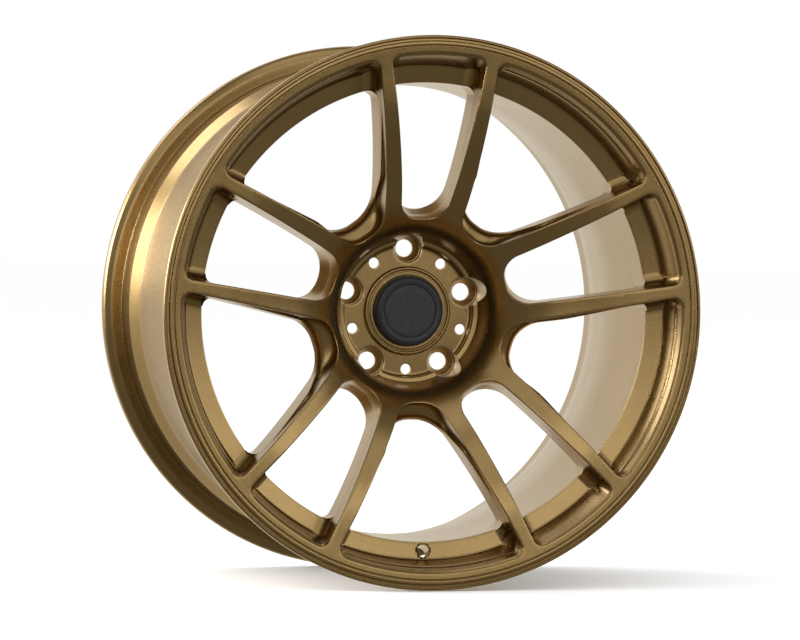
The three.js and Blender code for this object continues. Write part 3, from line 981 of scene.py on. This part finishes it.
def ramp(tree, source, *stops):
    """A colour between two (position, colour) stops."""
    node = tree.nodes.new("ShaderNodeValToRGB")
    for element, (position, colour) in zip(node.color_ramp.elements, stops):
        element.position, element.color = position, (*colour, 1)
    tree.links.new(source, node.inputs["Fac"])
    return node.outputs["Color"]


def spread(tree, source, low, high):
    """A number from low to high as the source goes from 0 to 1."""
    node = tree.nodes.new("ShaderNodeMapRange")
    node.inputs["To Min"].default_value = low
    node.inputs["To Max"].default_value = high
    tree.links.new(source, node.inputs["Value"])
    return node.outputs["Result"]


def mix(tree, factor, a, b, kind="MIX"):
    """Colours a and b blended; each of factor, a and b is a socket or a value."""
    node = tree.nodes.new("ShaderNodeMix")
    node.data_type = "RGBA"
    node.blend_type = kind
    for socket, value in ((node.inputs["Factor"], factor), (node.inputs[6], a), (node.inputs[7], b)):
        if hasattr(value, "links"):
            tree.links.new(value, socket)
        else:
            socket.default_value = value
    return node.outputs[2]


def bump(tree, shader, height, strength, distance):
    node = tree.nodes.new("ShaderNodeBump")
    node.inputs["Strength"].default_value = strength
    node.inputs["Distance"].default_value = distance
    tree.links.new(height, node.inputs["Height"])
    tree.links.new(node.outputs["Normal"], shader.inputs["Normal"])


def bronze():
    """Painted satin metal under a clear coat: a fine flake, slow shifts of tone, and a painted highlight
    that lightens the convex edges.
    """
    material, tree, shader = new_material(
        "satin_bronze", Metallic=1.0, Coat_Weight=0.4, Coat_Roughness=0.2, Coat_IOR=1.5)
    colour = ramp(tree, noise(tree, 14, 3), (0.3, (0.325, 0.212, 0.078)), (0.7, (0.365, 0.240, 0.090)))
    flake = ramp(tree, noise(tree, 2600, 1), (0.42, (0.84, 0.84, 0.84)), (0.62, (1.14, 1.14, 1.14)))
    colour = mix(tree, 0.6, colour, flake, "MULTIPLY")
    # painted highlight: where pointiness finds a convex edge, the colour is blended towards a lighter
    # bronze
    geometry = tree.nodes.new("ShaderNodeNewGeometry")
    edges = ramp(tree, geometry.outputs["Pointiness"], (0.52, (0, 0, 0)), (0.58, (1, 1, 1)))
    colour = mix(tree, edges, colour, (0.52, 0.38, 0.19, 1))
    tree.links.new(colour, shader.inputs["Base Color"])
    tree.links.new(spread(tree, noise(tree, 60, 4), 0.24, 0.31), shader.inputs["Roughness"])
    bump(tree, shader, noise(tree, 1500, 3), 0.12, 0.0002)
    return material


def cap_plastic():
    material, tree, shader = new_material("black_moulded_plastic", Specular_IOR_Level=0.3)
    colour = ramp(tree, noise(tree, 300, 3), (0.3, (0.010, 0.010, 0.011)), (0.7, (0.016, 0.016, 0.017)))
    tree.links.new(colour, shader.inputs["Base Color"])
    tree.links.new(spread(tree, noise(tree, 500, 3), 0.28, 0.38), shader.inputs["Roughness"])
    bump(tree, shader, noise(tree, 3500, 2), 0.1, 0.0001)
    return material


def insert_finish():
    material, tree, shader = new_material("satin_black_insert", Specular_IOR_Level=0.3)
    colour = ramp(tree, noise(tree, 200, 3), (0.3, (0.012, 0.0125, 0.013)), (0.7, (0.019, 0.0195, 0.020)))
    tree.links.new(colour, shader.inputs["Base Color"])
    tree.links.new(spread(tree, noise(tree, 700, 3), 0.4, 0.5), shader.inputs["Roughness"])
    bump(tree, shader, noise(tree, 5000, 2), 0.15, 0.0001)
    return material


def spring_steel():
    material, tree, shader = new_material("spring_steel_wire", Metallic=1.0)
    colour = ramp(tree, noise(tree, 150, 3), (0.3, (0.45, 0.45, 0.46)), (0.7, (0.58, 0.58, 0.60)))
    tree.links.new(colour, shader.inputs["Base Color"])
    tree.links.new(spread(tree, noise(tree, 900, 3), 0.22, 0.36), shader.inputs["Roughness"])
    bump(tree, shader, noise(tree, 2500, 2), 0.1, 0.0001)
    return material


# ---------------------------------------------------------------- assembly

bodies = frame["record"]["behaviour"]["bodies"]
spokes = [n for n in bodies["wheel"] if n.startswith("spoke")]
hub_segments = [n for n in bodies["wheel"] if n.startswith("hub_segment")]
rings = ["front_flange", "front_bead_seat", "drop_centre", "rear_bead_seat", "rear_flange"]

spider = build_spider().make("spokes_and_hub")
even_normals(spider)
barrel = build_barrel()
even_normals(barrel)
collar = build_collar().make("cap_collar_and_bore", weld=0.002)
cap = build_cap_body()
insert = build_cap_insert()
wire = build_wire_ring()
satin = bronze()

for piece, material, body, slot, nodes in (
    (spider, satin, "wheel", "bronze", spokes + hub_segments),
    (barrel, satin, "wheel", "bronze", rings),
    (collar, satin, "wheel", "bronze", ["bore_collar"]),
    (cap, cap_plastic(), "centre_cap", "cap_plastic", ["cap_body"]),
    (insert, insert_finish(), "centre_cap", "cap_insert", ["cap_insert"]),
    (wire, spring_steel(), "centre_cap", "spring_steel", ["cap_spring_ring"]),
):
    piece.data.materials.clear()
    piece.data.materials.append(material)
    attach(piece, body)
    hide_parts(*nodes)


# ---------------------------------------------------------------- stage


FLOOR_REACH = 30
FLOOR_GAP = 0.0004  # below the wheel


def build_floor():
    mesh = bpy.data.meshes.new("floor")
    z = CAD_BOX[0].z - FLOOR_GAP
    corners = [(x * FLOOR_REACH, y * FLOOR_REACH, z) for x, y in ((-1, -1), (1, -1), (1, 1), (-1, 1))]
    mesh.from_pydata(corners, [], [(0, 1, 2, 3)])
    floor = bpy.data.objects.new("floor", mesh)
    bpy.context.scene.collection.objects.link(floor)
    material, *_ = new_material(
        "pale_floor", Base_Color=(0.9, 0.9, 0.9, 1), Roughness=1, Specular_IOR_Level=0)
    floor.data.materials.append(material)
    floor.visible_glossy = False


LIGHT_DISTANCE = 3.2
LIGHT_SIZE = 1.5, 1.2
# Softboxes in rows: power of each, elevation, and azimuths from straight in front, positive to the right.
KEY_ROW = 110, 15, (-95,)
REAR_ROWS = (20, 15, (-130,)), (20, 45, (-130,))
FRONT_ROW = 8, 12, (-30, 0, 30, 60)
UPPER_ROW = 4, 38, (-70, -35, 0, 35)
TOP_ROW = 5, 65, (0,)
BACK_GLOW, FRONT_GLOW = 0.9, 0.2  # reflected brightness of the studio behind and in front
GLOW_TINT = 1, 0.95, 0.84, 1
SIDEWAYS, BEHIND = -0.1, 0.7  # the glow climbs from front to back as a direction's Y goes between these
FLOOR_GLOW = 1.1  # brightness that falls on the floor from all round


def softbox(power, azimuth, elevation):
    data = bpy.data.lights.new("softbox", "AREA")
    data.shape = "RECTANGLE"
    data.size, data.size_y = LIGHT_SIZE
    data.energy = power
    light = bpy.data.objects.new("softbox", data)
    a, e = math.radians(azimuth), math.radians(elevation)
    towards = Vector((math.sin(a) * math.cos(e), -math.cos(a) * math.cos(e), math.sin(e)))
    light.location = towards * LIGHT_DISTANCE
    light.rotation_euler = (-towards).to_track_quat("-Z", "Y").to_euler()
    bpy.context.scene.collection.objects.link(light)


def build_lights():
    """A strong key from the left, weaker boxes behind it, and faint rows in front and above."""
    for power, elevation, azimuths in (KEY_ROW, *REAR_ROWS, FRONT_ROW, UPPER_ROW, TOP_ROW):
        for azimuth in azimuths:
            softbox(power, azimuth, elevation)


def build_studio():
    """White to look at, and to the floor; the metal reflects it bright behind and darker in front."""
    world = bpy.data.worlds.new("studio")
    world.use_nodes = True
    world.cycles.sampling_method = "NONE"
    bpy.context.scene.world = world
    tree = world.node_tree
    where = tree.nodes.new("ShaderNodeTexCoord")
    split = tree.nodes.new("ShaderNodeSeparateXYZ")
    tree.links.new(where.outputs["Generated"], split.inputs["Vector"])
    glow = tree.nodes.new("ShaderNodeMapRange")
    glow.interpolation_type = "SMOOTHSTEP"
    glow.inputs["From Min"].default_value = SIDEWAYS
    glow.inputs["From Max"].default_value = BEHIND
    glow.inputs["To Min"].default_value = FRONT_GLOW
    glow.inputs["To Max"].default_value = BACK_GLOW
    tree.links.new(split.outputs["Y"], glow.inputs["Value"])
    rays = tree.nodes.new("ShaderNodeLightPath")
    colour = mix(tree, 1, glow.outputs["Result"], GLOW_TINT, "MULTIPLY")
    colour = mix(tree, rays.outputs["Is Diffuse Ray"], colour, (FLOOR_GLOW,) * 3 + (1,))
    colour = mix(tree, rays.outputs["Is Camera Ray"], colour, (1, 1, 1, 1))
    tree.links.new(colour, tree.nodes["Background"].inputs["Color"])


def build_camera():
    """A long lens, to the left of the spin axis and a little above it, rolled slightly."""
    azimuth, elevation, roll = math.radians(-14.70), math.radians(1.254), math.radians(0.9)
    aim = Vector((0.0043, -0.0014, -0.0095))
    distance = 4.046
    flat = math.cos(elevation)
    back = Vector((math.sin(azimuth) * flat, -math.cos(azimuth) * flat, math.sin(elevation)))
    data = bpy.data.cameras.new("camera")
    data.lens, data.sensor_width = 196.9, 36
    data.clip_end = 100
    camera = bpy.data.objects.new("camera", data)
    camera.location = aim + back * distance
    turned = (-back).to_track_quat("-Z", "Y") @ Quaternion((0, 0, 1), roll)
    camera.rotation_euler = turned.to_euler()
    bpy.context.scene.collection.objects.link(camera)
    bpy.context.scene.camera = camera


build_floor()
build_lights()
build_studio()
build_camera()
bpy.context.scene.view_settings.view_transform = "Standard"
